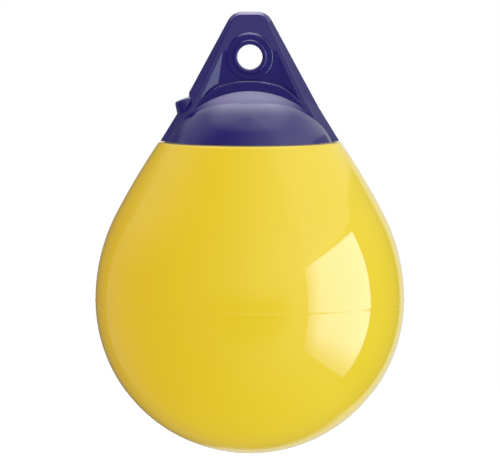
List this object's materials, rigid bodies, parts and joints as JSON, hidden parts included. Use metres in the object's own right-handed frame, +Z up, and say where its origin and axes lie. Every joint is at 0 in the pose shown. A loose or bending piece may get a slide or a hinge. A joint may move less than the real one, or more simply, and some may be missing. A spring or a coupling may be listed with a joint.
{
  "type": "inflatable mooring buoy",
  "caption": "Inflatable pear-shaped vinyl buoy with a moulded rope-eye head and a screw-plug inflation valve.",
  "frame": {"origin": "centre of the rope eye, on the middle plane of the head's plate", "axes": "+Z up, along the buoy's axis from the ball to the top of the head; +Y along the rope eye's axis; the valve is on -X"},
  "size_m": [0.2046, 0.2046, 0.2918],
  "materials": {
    "yellow_vinyl": "glossy moulded soft vinyl",
    "blue_vinyl": "glossy moulded solid vinyl",
    "valve_plastic": "moulded nylon",
    "washer_rubber": "plain rubber"
  },
  "bodies": {
    "buoy": {"body_shell": "yellow_vinyl", "rope_head": "blue_vinyl", "valve_insert": "valve_plastic"},
    "washer": {"valve_washer": "washer_rubber"},
    "plug": {"valve_plug": "valve_plastic"}
  },
  "joints": [
    {"name": "valve_plug_lift", "type": "slide", "parent": "buoy", "child": "washer", "axis": [-0.3256, 0, 0.9455], "range_m": [0, 0.007]},
    {"name": "valve_plug_turn", "type": "hinge", "parent": "washer", "child": "plug", "pos_m": [-0.04297, 0, -0.0275], "axis": [-0.3256, 0, 0.9455], "range_deg": [0, 1440]}
  ],
  "couplings": [
    {"joint": "valve_plug_turn", "follows": "valve_plug_lift", "rad_per_m": 3590.4}
  ]
}
